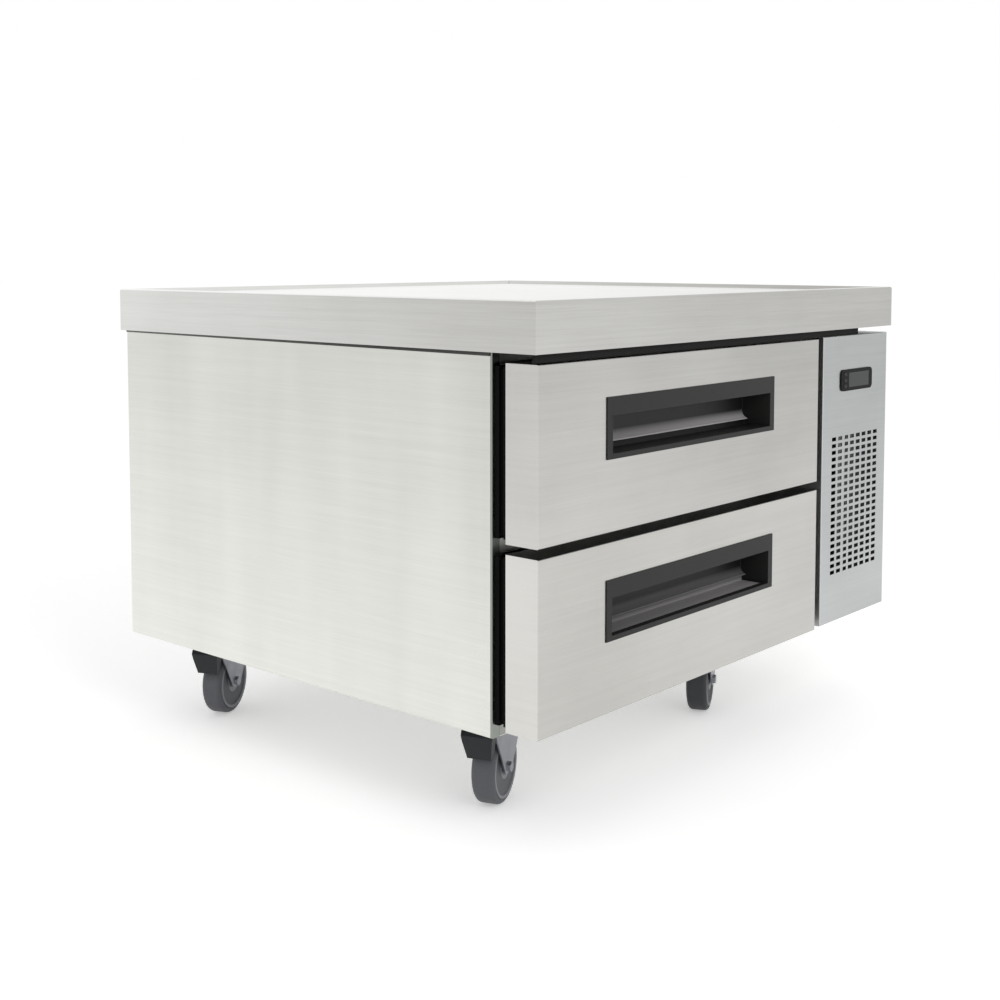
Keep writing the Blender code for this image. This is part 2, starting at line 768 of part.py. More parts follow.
def fan_blades(name, place, radius, hub_radius, depth, count, bore):
    """A bored hub with pitched blades about its own Z."""
    pitch_angle = 28
    chord_share, root_share = 0.62, 0.8
    half = depth / 2
    profile = [(bore, half), (hub_radius, half), (hub_radius, -half), (bore, -half)]
    hub = turned(name, profile, True, 20, fan_plastic, place)
    chord = depth / sin(radians(pitch_angle)) * chord_share
    for i in range(count):
        turn = Matrix.Rotation(2 * pi * i / count, 4, "Z") @ Matrix.Rotation(radians(pitch_angle), 4, "X")
        blade = block(f"{name}_{i}", (hub_radius * root_share, -chord / 2, -blade_sheet / 2),
                      (radius, chord / 2, blade_sheet / 2), place=place @ turn)
        join(hub, blade)


strap_width, strap_sheet = 0.016, 0.002


def fan_motor(name, x, z, motor_front, motor_radius, length, shaft_radius, shaft_tip, arm_half, arm_end):
    """A small motor with its shaft to the front, on a strap whose two legs reach forward to arm_end."""
    motor = rod(name, (x, motor_front, z), (x, motor_front + length, z), motor_radius, 24, enamel)
    shaft = rod(name + "_shaft", (x, motor_front + overrun / 2, z), (x, shaft_tip, z), shaft_radius, 16)
    strap = block(name + "_strap", (x - arm_half, motor_front - strap_sheet / 2, z - strap_width / 2),
                  (x + arm_half, motor_front + strap_sheet / 2, z + strap_width / 2))
    join(motor, shaft, strap)
    for side, sign in (("left", -1), ("right", 1)):
        ends = (x + sign * arm_half, x + sign * (arm_half - strap_sheet))
        join(motor, block(f"{name}_{side}_leg", (min(ends), arm_end, z - strap_width / 2),
                          (max(ends), motor_front + strap_sheet / 2, z + strap_width / 2)))


fan_hub_radius, fan_depth, fan_shaft_radius, motor_gap = 0.022, 0.022, 0.004, 0.014
motor_radius, motor_length = 0.032, 0.055


def make_condensing_unit():
    pan("condensing_unit_tray", (unit_left, core_front + fit_gap, unit_floor),
        (unit_right, core_rear - fit_gap * 4, unit_floor + tray_height), (0, 0, 1), sheet, galvanised)
    comb("condenser_coil", coil_left, coil_right, coil_front, coil_back, coil_bottom, coil_top, 24, fins)

    shroud = pan("condenser_shroud", (coil_left, shroud_front, coil_bottom),
                 (coil_right, shroud_back, coil_top), (0, -1, 0), sheet, galvanised)
    cut(shroud, rod("shroud_cutter", (unit_middle, shroud_back - overrun, fan_z),
                    (unit_middle, shroud_back + overrun, fan_z), fan_radius + fan_ring_gap, 40))

    blade_y = shroud_back - fan_depth / 2
    motor_front = shroud_back + motor_gap
    facing = Matrix.Translation((unit_middle, blade_y, fan_z)) @ Matrix.Rotation(pi / 2, 4, "X")
    fan_blades("condenser_fan", facing, fan_radius, fan_hub_radius, fan_depth, 5, fan_shaft_radius + fit_gap)
    fan_motor("condenser_fan_motor", unit_middle, fan_z, motor_front, motor_radius, motor_length,
              fan_shaft_radius, blade_y - fan_depth / 2, fan_radius + fan_ring_gap * 2, shroud_back + fit_gap)
    make_compressor()
    make_refrigerant_lines()


shell_wall = 0.010
shell_dome = 0.045
foot_length, foot_width, foot_plate = 0.176, 0.110, 0.004
grommet_radius, grommet_inset = 0.010, 0.013


def make_compressor():
    """A welded shell, hollow and open underneath, on a foot plate with four grommets."""
    middle = (unit_middle, compressor_y)
    top = compressor_height
    outer = [(0, top)] + [(compressor_radius * sin(a), top - shell_dome + shell_dome * cos(a))
                          for a in [radians(90 * i / 5) for i in range(1, 6)]]
    base = foot_height
    inner_radius = compressor_radius - shell_wall
    inner = [(inner_radius, base), (inner_radius, top - shell_dome), (0, top - shell_wall - shell_dome / 2)]
    shell = turned("compressor", outer + [(compressor_radius, base)] + inner, False, 24, enamel,
                   Matrix.Translation((*middle, compressor_bottom)))
    corner = Vector((foot_length / 2, foot_width / 2, foot_plate / 2))
    foot_middle = Vector((*middle, compressor_bottom + base))
    plate = block("compressor_foot", foot_middle - corner, foot_middle + corner)
    join(shell, plate)
    for x_sign in (-1, 1):
        for y_sign in (-1, 1):
            x = middle[0] + x_sign * (foot_length / 2 - grommet_inset)
            y = middle[1] + y_sign * (foot_width / 2 - grommet_inset)
            join(shell, rod(f"grommet_{x_sign}_{y_sign}", (x, y, compressor_bottom),
                            (x, y, compressor_bottom + base), grommet_radius, 12))


line_bend = 0.030
loop_rise = 0.045
liquid_radius = 0.0035
drier_radius, drier_length, drier_neck, drier_weld = 0.012, 0.110, 0.016, 0.002
drier_inset, drier_rise, drier_lead, drier_tail = 0.040, 0.010, 0.110, 0.070


def make_refrigerant_lines():
    top = compressor_bottom + compressor_height + fit_gap
    line_height = coil_top + loop_rise
    coil_y = (coil_front + coil_back) / 2
    loop = [(unit_middle, compressor_y, top), (unit_middle, compressor_y, line_height),
            (unit_middle, coil_y, line_height), (unit_middle, coil_y, coil_top + fit_gap)]
    bent_tube("discharge_line", loop, line_bend, line_radius, copper)
    stub_z = compressor_bottom + compressor_height / 2
    stub_y = compressor_y + compressor_radius + fit_gap
    turn_y = (line_y + stub_y) / 2
    run = [(evap_coil_right + fit_gap, line_y, line_z), (unit_middle, line_y, line_z),
           (unit_middle, turn_y, line_z), (unit_middle, turn_y, stub_z), (unit_middle, stub_y, stub_z)]
    bent_tube("suction_line", run, line_bend, line_radius, copper)
    drier_x = unit_left + drier_inset
    drier_z = line_height + drier_rise
    drier_y = coil_y + drier_lead
    tail_y = drier_y + drier_length + drier_tail
    run = [(drier_x, coil_y, coil_top + fit_gap), (drier_x, coil_y, drier_z), (drier_x, tail_y, drier_z),
           (divider_right + fit_gap, tail_y, drier_z)]
    lines = bent_tube("filter_drier", run, line_bend, liquid_radius, copper)
    can = rod("drier_can", (drier_x, drier_y, drier_z), (drier_x, drier_y + drier_length, drier_z),
              drier_radius, 16)
    ends = (("drier_front", drier_y + drier_weld, drier_y - drier_neck),
            ("drier_back", drier_y + drier_length - drier_weld, drier_y + drier_length + drier_neck))
    for name, near, far in ends:
        join(can, rod(name, (drier_x, near, drier_z), (drier_x, far, drier_z), drier_radius, 16,
                      end_radius=line_radius))
    join(lines, can)


# Evaporator at the back of the cooled space
evap_depth = 0.036
evap_margin = 0.020
evap_coil_left = cover_left + evap_margin
evap_coil_right = cover_right - evap_margin


evap_fan_radius, evap_ring_gap, evap_fan_depth = 0.058, 0.005, 0.018
evap_hub_radius, evap_shaft_radius = 0.016, 0.003
evap_motor_radius, evap_motor_length = 0.022, 0.020
air_count = 7
air_width, air_height, air_pitch = 0.110, 0.008, 0.022


def make_evaporator():
    comb("evaporator_coil", evap_coil_left, evap_coil_right, cover_back - evap_depth, cover_back,
         cover_bottom + evap_margin, cover_top - evap_margin, 30, fins)
    z = (cover_bottom + cover_top) / 2
    cover = pan("evaporator_cover", (cover_left, cover_front, cover_bottom),
                (cover_right, cover_back, cover_top), (0, 1, 0), sheet, liner_steel)
    slots = []
    for sign in (-1, 1):
        middle = drawer_middle + sign * (evap_fan_radius + evap_ring_gap + air_width / 2 + evap_margin)
        for i in range(air_count):
            bottom = z + (i - (air_count - 1) / 2) * air_pitch - air_height / 2
            slots.append(((middle - air_width / 2, cover_front - overrun, bottom),
                          (middle + air_width / 2, cover_front + overrun, bottom + air_height)))
    mouth = rod("cover_cutter", (drawer_middle, cover_front - overrun, z),
                (drawer_middle, cover_front + overrun, z), evap_fan_radius + evap_ring_gap, 32)
    cut(cover, line_hole, many_boxes("air_cutter", slots), mouth)
    cover_inside = cover_front + sheet
    blade_y = cover_inside + evap_fan_depth
    facing = Matrix.Translation((drawer_middle, blade_y, z)) @ Matrix.Rotation(pi / 2, 4, "X")
    fan_blades("evaporator_fan", facing, evap_fan_radius, evap_hub_radius, evap_fan_depth, 5,
               evap_shaft_radius + fit_gap)
    fan_motor("evaporator_fan_motor", drawer_middle, z, blade_y + evap_fan_depth, evap_motor_radius,
              evap_motor_length, evap_shaft_radius, blade_y - evap_fan_depth / 2,
              evap_fan_radius + evap_ring_gap * 2, cover_inside + fit_gap)


# Castors: each turns about its own upright axis, and its wheel trails along the turned X
wheel_radius = 0.050
wheel_width = 0.032
tyre_shoulder = 0.0045
web_depth, hub_radius, rim_radius = 0.004, 0.013, 0.036
castor_trail = 0.033
axle_radius = 0.004
fork_clear = 0.0025
fork_sheet = 0.0025
crown_clear = 0.012
race_radius = 0.026
leg_end_radius, leg_end_half = 0.0078, 0.0155
cheek_end = 0.009
nut_width, nut_radius = 0.004, 0.0072
plate_length, plate_width, plate_thickness = 0.095, 0.067, 0.0032
plate_boss, boss_radius = 0.003, 0.022
castor_left_inset = 0.138
castor_right_margin = 0.3194
castor_front_depth = 0.102
castor_right_depth = 0.0835
castor_rear_margin = 0.0805
castor_right_inset = body_width - castor_right_margin
castor_rear_depth = body_rear - body_front - castor_rear_margin
castors = {
    "front_left": (castor_left_inset, castor_front_depth, 201),
    "front_right": (castor_right_inset, castor_right_depth, 25),
    "rear_left": (castor_left_inset, castor_rear_depth, 205),
    "rear_right": (castor_right_inset, castor_rear_depth, 340),
}
leg_inner = wheel_width / 2 + fork_clear
leg_middle = leg_inner + fork_sheet / 2
crown_bottom = 2 * wheel_radius + crown_clear
crown_top = crown_bottom + fork_sheet
crown_front, crown_rear, cheek_rear = -0.026, 0.047, 0.082
plate_top = castor_height - fit_gap
plate_bottom = plate_top - plate_thickness
race_top = plate_bottom - plate_boss - fit_gap
pedal_pin = 0.0022
pedal_barrel = 0.0045
pedal_gap = 0.0007
pedal_drop = 0.005
pedal_width = 0.047
pedal_reach = 0.046
pedal_foot_share = 0.70
cheek_gap = 0.001
pedal_pivot = (crown_rear + pedal_barrel + pedal_gap, crown_top - pedal_drop)


def make_castor(name, inset, depth, turn):
    x, y = -body_half + inset, body_front + depth
    plate = block(f"{name}_castor_plate", (x - plate_length / 2, y - plate_width / 2, plate_bottom),
                  (x + plate_length / 2, y + plate_width / 2, plate_top), zinc)
    join(plate, rod(f"{name}_plate_boss", (x, y, plate_bottom - plate_boss),
                    (x, y, plate_bottom + plate_thickness / 2), boss_radius))
    swivel = bpy.data.objects.new(f"{name}_swivel", None)
    swivel.location = (x, y, 0)
    swivel.rotation_euler.z = radians(turn)
    parts.objects.link(swivel)
    make_fork(name, swivel)
    make_wheel(name, swivel)
    make_pedal(name, swivel)


def make_fork(name, swivel):
    across = leg_inner + fork_sheet
    fork = block(f"{name}_fork", (crown_front, -across, crown_bottom), (crown_rear, across, crown_top), zinc,
                 parent=swivel)
    join(fork, rod(f"{name}_race", (0, 0, crown_top - fork_sheet / 2), (0, 0, race_top), race_radius, 28,
                   parent=swivel))
    leg = [(crown_front, crown_top - fork_sheet / 4), (castor_trail - leg_end_half, wheel_radius)]
    corner = leg_end_half - leg_end_radius
    leg += arc((castor_trail - corner, wheel_radius), leg_end_radius, 180, 270, 4)[1:]
    leg += arc((castor_trail + corner, wheel_radius), leg_end_radius, 270, 350, 4)
    leg += [(cheek_rear, crown_top - cheek_end), (cheek_rear, crown_top - fork_sheet / 4)]
    for side in (-1, 1):
        join(fork, outline(f"{name}_leg_{side}", leg, fork_sheet, place=upright((0, side * leg_middle, 0)),
                           parent=swivel))
    nut = fork_sheet + nut_width
    join(fork, rod(f"{name}_axle", (castor_trail, -leg_inner - nut / 2, wheel_radius),
                   (castor_trail, leg_inner + nut / 2, wheel_radius), axle_radius, 16, parent=swivel))
    join(fork, rod(f"{name}_pedal_pin", (pedal_pivot[0], -leg_middle, pedal_pivot[1]),
                   (pedal_pivot[0], leg_middle, pedal_pivot[1]), pedal_pin, 12, parent=swivel))
    for side in (-1, 1):
        join(fork, rod(f"{name}_nut_{side}", (castor_trail, side * leg_middle, wheel_radius),
                       (castor_trail, side * (leg_inner + nut), wheel_radius), nut_radius, 6, parent=swivel))


def make_wheel(name, swivel):
    """Tyre, rim and hub, bored for the axle."""
    half = wheel_width / 2
    hub_half = half + fork_clear - fit_gap * 2
    bore = axle_radius + fit_gap
    side = [(bore, hub_half), (hub_radius, hub_half), (hub_radius, half - web_depth),
            (rim_radius, half - web_depth), (rim_radius + web_depth / 2, half)]
    side += arc((wheel_radius - tyre_shoulder, half - tyre_shoulder), tyre_shoulder, 90, 0, 3)
    profile = side + [(radius, -height) for radius, height in side[::-1]]
    place = Matrix.Translation((castor_trail, 0, wheel_radius)) @ Matrix.Rotation(pi / 2, 4, "X")
    turned(f"{name}_wheel", profile, True, 28, tyre_rubber, place, swivel)


def narrow(plate, foot_share):
    """Narrows a plate evenly from its top down to its foot."""
    heights = [vertex.co.y for vertex in plate.data.vertices]
    top, foot = max(heights), min(heights)
    for vertex in plate.data.vertices:
        vertex.co.z *= 1 - (1 - foot_share) * (top - vertex.co.y) / (top - foot)


def make_pedal(name, swivel):
    """The brake pedal over the trailing side of the wheel: an arm between the fork's cheeks, turning on
    their pin, and a wide foot plate behind them."""
    near = (cheek_rear + cheek_gap - pedal_pivot[0]) / pedal_reach
    plate_shares = [(near, 0.165), (0.94, 0.09), (1.04, -0.02), (1.02, -0.18), (0.84, -0.72), (0.76, -0.72),
                    (near, -0.50)]
    arm_shares = [(0.02, 0.09), (0.72, 0.12), (0.72, -0.42), (0.34, -0.22), (0.02, -0.09)]
    place = upright((pedal_pivot[0], 0, pedal_pivot[1]))
    arm_half = leg_inner - fit_gap * 2
    plate, arm = ([(across * pedal_reach, up * pedal_reach) for across, up in shares]
                  for shares in (plate_shares, arm_shares))
    pedal = outline(f"{name}_pedal", plate, pedal_width, pedal_plastic, place, swivel)
    narrow(pedal, pedal_foot_share)
    join(pedal, outline(f"{name}_pedal_arm", arm, arm_half * 2, place=place, parent=swivel))
    ends = [(pedal_pivot[0], side * arm_half, pedal_pivot[1]) for side in (-1, 1)]
    join(pedal, rod(f"{name}_pedal_barrel", *ends, pedal_barrel, 16, parent=swivel))
    through = [(pedal_pivot[0], side * (arm_half + overrun), pedal_pivot[1]) for side in (-1, 1)]
    cut(pedal, rod(f"{name}_pedal_bore", *through, pedal_pin + fit_gap, 12, parent=swivel))


make_worktop()
make_cabinet()
make_insulation()
make_power_inlet()
make_slides()
for level, (bottom, top) in fronts.items():
    make_drawer_front(level, bottom, top)
    make_gasket(level, bottom, top)
    make_pan_frame(level, top)
make_control_panel()
make_condensing_unit()
make_evaporator()
for name, (inset, depth, turn) in castors.items():
    make_castor(name, inset, depth, turn)
for piece in parts.objects:
    if piece.type == "MESH":
        piece.data.shade_smooth()
        piece.data.set_sharp_from_angle(angle=radians(30))
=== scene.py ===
"""Refrigerated chef base: its looks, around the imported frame. Metres, +Z up, with the front at -Y."""

import json
from math import cos, pi, radians, sin

import bmesh
import bpy
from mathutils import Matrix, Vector


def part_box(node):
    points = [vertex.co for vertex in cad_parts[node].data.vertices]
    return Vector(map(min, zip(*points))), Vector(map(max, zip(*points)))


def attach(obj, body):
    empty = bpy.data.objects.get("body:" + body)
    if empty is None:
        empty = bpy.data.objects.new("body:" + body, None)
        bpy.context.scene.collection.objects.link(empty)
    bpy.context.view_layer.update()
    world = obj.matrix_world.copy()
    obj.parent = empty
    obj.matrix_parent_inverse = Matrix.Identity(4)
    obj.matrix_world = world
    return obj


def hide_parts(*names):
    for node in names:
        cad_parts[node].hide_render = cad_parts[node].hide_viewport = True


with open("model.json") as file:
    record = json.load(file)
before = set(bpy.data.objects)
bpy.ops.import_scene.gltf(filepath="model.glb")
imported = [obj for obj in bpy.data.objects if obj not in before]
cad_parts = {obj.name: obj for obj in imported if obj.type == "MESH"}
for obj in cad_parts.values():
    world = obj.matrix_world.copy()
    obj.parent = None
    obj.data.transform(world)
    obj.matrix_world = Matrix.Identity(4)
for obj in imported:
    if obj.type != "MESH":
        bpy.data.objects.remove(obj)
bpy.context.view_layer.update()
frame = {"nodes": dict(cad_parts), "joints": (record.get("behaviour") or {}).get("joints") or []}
nodes = frame["nodes"]
joints = {joint["name"]: joint for joint in frame["joints"]}

# The view. The camera stands low, off the cabinet's front left corner, and looks slightly down, as in
# the photograph.
camera_place = (-1.741, -1.4795, 0.731)
yaw, pitch = radians(48.913), radians(3.928)
forward = Vector((sin(yaw) * cos(pitch), cos(yaw) * cos(pitch), -sin(pitch)))
camera_turn = forward.to_track_quat("-Z", "Y").to_euler()
bpy.ops.object.select_all(action="DESELECT")
bpy.ops.object.camera_add(location=camera_place, rotation=camera_turn)
camera = bpy.context.object
camera.data.sensor_width = 36
camera.data.lens = 51.2
camera.data.shift_y = -0.149
bpy.context.scene.camera = camera


# The outer cabinet is folded from brushed stainless sheet and riveted together: two side panels with
# returns, a base pan, a back panel and a front frame.
def colour(code):
    """A linear colour, from its usual six digits."""
    parts = [int(code[i:i + 2], 16) / 255 for i in (0, 2, 4)]
    return (*[c / 12.92 if c <= 0.04045 else ((c + 0.055) / 1.055) ** 2.4 for c in parts], 1)


class Wire:
    """An output of a node. Sums with it add Math nodes to its finish."""

    def __init__(self, finish, socket):
        self.finish, self.socket = finish, socket

    def sum(self, operation, first, second):
        return self.finish.node("Math", {"operation": operation}, {0: first, 1: second})

    def __add__(self, other):
        return self.sum("ADD", self, other)

    def __sub__(self, other):
        return self.sum("SUBTRACT", self, other)

    def __rsub__(self, other):
        return self.sum("SUBTRACT", other, self)

    def __mul__(self, other):
        return self.sum("MULTIPLY", self, other)

    def __gt__(self, other):
        return self.sum("GREATER_THAN", self, other)

    __radd__, __rmul__ = __add__, __mul__


class Finish:
    """A material in the making: a Principled shader and the nodes that feed it."""

    def __init__(self, name, roughness, metallic=0.0, **sockets):
        self.material = bpy.data.materials.new(name)
        self.material.use_nodes = True
        self.tree = self.material.node_tree
        self.shader = self.tree.nodes["Principled BSDF"]
        self.feed(self.shader, {"Roughness": roughness, "Metallic": metallic, **sockets})
        self.place = self.node("TexCoord", output="Object")

    def feed(self, made, inputs):
        """Sets or links a node's sockets."""
        for key, value in inputs.items():
            if isinstance(value, Wire):
                self.tree.links.new(value.socket, made.inputs[key])
            else:
                made.inputs[key].default_value = value

    def node(self, kind, settings=None, inputs=None, output=0):
        """A node of any type, with its settings and its sockets."""
        made = self.tree.nodes.new("ShaderNode" + kind)
        for name, value in (settings or {}).items():
            setattr(made, name, value)
        self.feed(made, inputs or {})
        return Wire(self, made.outputs[output])

    def noise(self, scale, stretch=(1, 1, 1), detail=3.0, shift=0.0):
        """Noise on the piece's own coordinates, from 0 to 1."""
        mapped = {"Vector": self.place, "Location": (shift,) * 3, "Scale": stretch}
        at = self.node("Mapping", None, mapped)
        return self.node("TexNoise", None, {"Vector": at, "Scale": scale, "Detail": detail})

    def cells(self, scale):
        """A random number for each of many small cells."""
        tint = self.node("TexVoronoi", None, {"Vector": self.place, "Scale": scale}, "Color")
        return self.node("SeparateColor", None, {0: tint})

    def mixed(self, share, first, second):
        """A colour between two others."""
        return self.node("Mix", {"data_type": "RGBA"}, {0: share, 6: first, 7: second}, 2)

    def normal(self, axis):
        """How far a face looks along an axis, from -1 to 1."""
        return self.node("SeparateXYZ", None, {0: self.node("TexCoord", output="Normal")}, axis)

    def facing(self, axis):
        """1 on the faces across an axis and 0 on the others."""
        along = self.normal(axis)
        return along * along > 0.5

    def rearward(self):
        """1 on the faces that look to the back and 0 on the others."""
        return self.normal("Y") > 0.7

    def along(self, direction, start):
        """How far a point lies from another, measured by a direction."""
        start = sum(a * b for a, b in zip(direction, start))
        measured = {0: self.place, 1: direction}
        return self.node("VectorMath", {"operation": "DOT_PRODUCT"}, measured, "Value") - start

    def recolour(self, share, code):
        """Mixes another colour into the base colour."""
        self.feed(self.shader, {"Base Color": self.mixed(share, self.base, colour(code))})

    def relief(self, height, distance, strength=1.0):
        """Bump from a height of 0 to 1."""
        bump = self.node("Bump", None, {"Height": height, "Distance": distance, "Strength": strength})
        self.feed(self.shader, {"Normal": bump})


def brush_lines(made, level, scale, detail, shift):
    """Brush lines that lie level, and on a face that looks up or down run from left to right."""
    upright = made.noise(scale, (0.01, 0.01, 1), detail, shift)
    lying = made.noise(scale, (0.01, 1, 1), detail, shift)
    return upright * (1 - level) + lying * level


fine_share, broad_share, line_mean = 0.26, 0.22, 0.28
line_gloss, smear_gloss = 0.09, 0.10


def brushed(name, dark, light, shift, roughness=0.30, fade=(0, 0, 0), about=(0, 0, 0),
            up=0.0, side=0.0, rear=0.0, reflection_bands=0.0, cloud=0.6, metallic=1.0):
    """Stainless sheet with brush lines, soft clouds, the faint smears that wiping leaves, and soft
    upright bands of painted reflection. Its tone fades along a direction, and faces that look up,
    sideways or back may be lighter or darker: this is painted light and shade."""
    made = Finish(name, roughness, metallic)
    level = made.facing("Z")
    fine = brush_lines(made, level, scale=1100, detail=2, shift=shift)
    broad = brush_lines(made, level, scale=170, detail=3, shift=shift)
    clouds = made.noise(4.5, stretch=(1, 1, 1.4), detail=3, shift=shift + 7)
    smears = made.noise(22, stretch=(1, 0.6, 1.6), detail=5, shift=shift + 3)
    # Soft upright bands of painted reflection.
    reflection_sweep = made.noise(9, stretch=(1, 1, 0.12), detail=2, shift=shift + 11)
    tint = fine * fine_share + broad * broad_share + clouds * cloud + reflection_sweep * reflection_bands
    # Painted light and shade: a fade along a direction, and lighter or darker faces that look up,
    # sideways or back.
    tint = tint - (line_mean + (cloud + reflection_bands) / 2) + made.along(fade, about)
    tint = tint + level * up + made.facing("X") * side + made.rearward() * rear
    made.base = made.mixed(tint + 0.5, colour(dark), colour(light))
    made.feed(made.shader, {
        "Base Color": made.base,
        "Roughness": roughness - line_gloss + fine * line_gloss + smears * smear_gloss,
    })
    made.relief(fine * 0.7 + broad * 0.3, distance=0.00012, strength=0.35)
    return made


def dress(finish, *names):
    """Gives CAD nodes their finish."""
    for name in names:
        for slot in nodes[name].material_slots:
            slot.material = finish.material


# Each side panel is folded in at its front; its folds, and a strip of face next to the front fold, are
# painted darker than its face, as painted shade.
painted_fold_shade, fold_depth = "8e928c", 0.0028
# The side sheet is lighter than the fronts', partly as painted light, and is painted lighter towards
# the back and the foot, with upright bands of painted reflection.
side_sheet = brushed("side_sheet", "c5c6c0", "f1f1ec", shift=1.0, fade=(0, 0.36, -0.76),
                     about=(0, 0.04, 0.34), reflection_bands=0.5, cloud=0.2)
fold_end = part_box("left_side_panel")[0].y + fold_depth
behind_fold = side_sheet.along((0, 1, 0), (0, fold_end, 0)) > 0
side_sheet.recolour(side_sheet.facing("Y") + (1 - behind_fold), painted_fold_shade)
dress(side_sheet, "left_side_panel", "right_side_panel")
# The back sheet is painted darker than the sides' and lighter towards its foot, and the front frame is
# painted darker towards its foot: painted light and shade.
dress(brushed("back_sheet", "acadaa", "d2d2ce", shift=2.0, fade=(0, 0, -0.6), about=(0, 0, 0.4),
              reflection_bands=0.4, cloud=0.3), "back_panel")
dress(brushed("frame_sheet", "949590", "dcdcd8", shift=3.0, roughness=0.34, fade=(0, 0, 3.5),
              about=(0, 0, 0.274)), "front_frame")
dress(brushed("base_sheet", "b8b9b6", "dcdcd8", shift=3.0, roughness=0.34), "base_pan")


# Louvres pressed from stainless sheet cover the back panel's vents and open downwards. Zinc-plated
# pan-head screws hold the panel along its edges.
def nothing_selected():
    """Leaves edit mode, with nothing selected."""
    if bpy.context.object and bpy.context.object.mode == "EDIT":
        bpy.ops.object.mode_set(mode="OBJECT")
    bpy.ops.object.select_all(action="DESELECT")


def only(piece):
    """Leaves edit mode, with this piece alone selected."""
    nothing_selected()
    piece.select_set(True)
    bpy.context.view_layer.objects.active = piece


def settled(name):
    """Names the new piece and puts its place into its mesh."""
    piece = bpy.context.object
    piece.name = piece.data.name = name
    bpy.ops.object.transform_apply(location=True, rotation=True, scale=True)
    return piece


def cube(name, low, high):
    """A cube between two corners."""
    low, high = Vector(low), Vector(high)
    nothing_selected()
    bpy.ops.mesh.primitive_cube_add(size=1, location=(low + high) / 2, scale=high - low)
    return settled(name)


def cylinder(name, middle, axis, radius, depth, sides):
    """A cylinder about a middle and along an axis."""
    nothing_selected()
    turn = Vector(axis).to_track_quat("Z", "Y").to_euler()
    bpy.ops.mesh.primitive_cylinder_add(vertices=sides, radius=radius, depth=depth,
                                        location=middle, rotation=turn)
    return settled(name)


def pick(piece, kind, test):
    """Selects in edit mode the faces, or the edges, that pass a test."""
    only(piece)
    bpy.ops.object.mode_set(mode="EDIT")
    bpy.ops.mesh.select_mode(type=kind)
    bpy.ops.mesh.select_all(action="DESELECT")
    shape = bmesh.from_edit_mesh(piece.data)
    shape.normal_update()
    for part in list(shape.faces if kind == "FACE" else shape.edges):
        part.select_set(bool(test(part)))
    bmesh.update_edit_mesh(piece.data)


def middle_of(edge):
    """The point halfway along an edge."""
    return (edge.verts[0].co + edge.verts[1].co) / 2


def span_of(edge):
    """An edge's width, depth and height."""
    return Vector(map(abs, edge.verts[0].co - edge.verts[1].co))


def modify(piece, kind, **settings):
    """Adds a modifier and applies it."""
    only(piece)
    modifier = piece.modifiers.new(kind.lower(), kind)
    for name, value in settings.items():
        setattr(modifier, name, value)
    bpy.ops.object.modifier_apply(modifier=modifier.name)


def smooth(piece, angle=35):
    """Smooths a piece's shading, except across its sharper edges."""
    only(piece)
    bpy.ops.object.shade_smooth_by_angle(angle=radians(angle))


def soften(piece, width, segments=2, angle=35):
    """Rounds a piece's edges a little, and smooths its shading."""
    modify(piece, "BEVEL", width=width, segments=segments, limit_method="ANGLE",
           angle_limit=radians(angle))
    smooth(piece, angle)
    modify(piece, "WEIGHTED_NORMAL", keep_sharp=True)


def copies(piece, shifts):
    """Copies a piece to each shift, and joins them all into it."""
    made = []
    for shift in shifts:
        only(piece)
        bpy.ops.object.duplicate()
        bpy.ops.transform.translate(value=shift)
        bpy.ops.object.transform_apply(location=True, rotation=True, scale=True)
        made.append(bpy.context.object)
    only(piece)
    for copy in made:
        copy.select_set(True)
    bpy.ops.object.join()


def fitted(piece, finish, body, slot, *replaced):
    """Gives a piece its finish and its body, and hides the CAD nodes that it stands for. The slot is
    not used.
    """
    only(piece)
    piece.data.materials.clear()
    piece.data.materials.append(finish.material)
    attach(piece, body)
    if replaced:
        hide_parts(*replaced)


back_low, back_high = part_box("back_panel")
panel_low, panel_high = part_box("control_panel")
vent_middle, vent_bottom, vent_count = (panel_low.x + panel_high.x) / 2, 0.293, 11
vent_width, vent_height, vent_pitch = 0.150, 0.009, 0.024
hood_side, hood_depth, hood_wall, hood_slope_share = 0.002, 0.0026, 0.0007, 0.85
hood_half, vent_top = vent_width / 2 + hood_side, vent_bottom + vent_height
hood = cube("back_louvres", (vent_middle - hood_half, back_high.y - hood_wall / 2, vent_bottom),
            (vent_middle + hood_half, back_high.y + hood_depth, vent_top + hood_side))
pick(hood, "EDGE", lambda e: middle_of(e).y > back_high.y and middle_of(e).z > vent_top
     and span_of(e).x > vent_width)
bpy.ops.transform.translate(value=(0, -hood_depth * hood_slope_share, 0))
pick(hood, "FACE", lambda f: f.normal.z < -0.9 or f.normal.y < -0.9)
bpy.ops.mesh.delete(type="FACE")
modify(hood, "SOLIDIFY", thickness=hood_wall, offset=-1, use_even_offset=True)
soften(hood, hood_wall / 4)
copies(hood, [(0, 0, vent_pitch * i) for i in range(1, vent_count)])
louvre_sheet = brushed("louvre_sheet", "b8b9b6", "d8d8d4", shift=4.0)
fitted(hood, louvre_sheet, "cabinet", "brushed_stainless")

screw_radius, screw_height, dome_share = 0.0042, 0.0019, 0.7
slot_reach_share, slot_half_share, slot_depth_share = 0.62, 0.13, 0.5


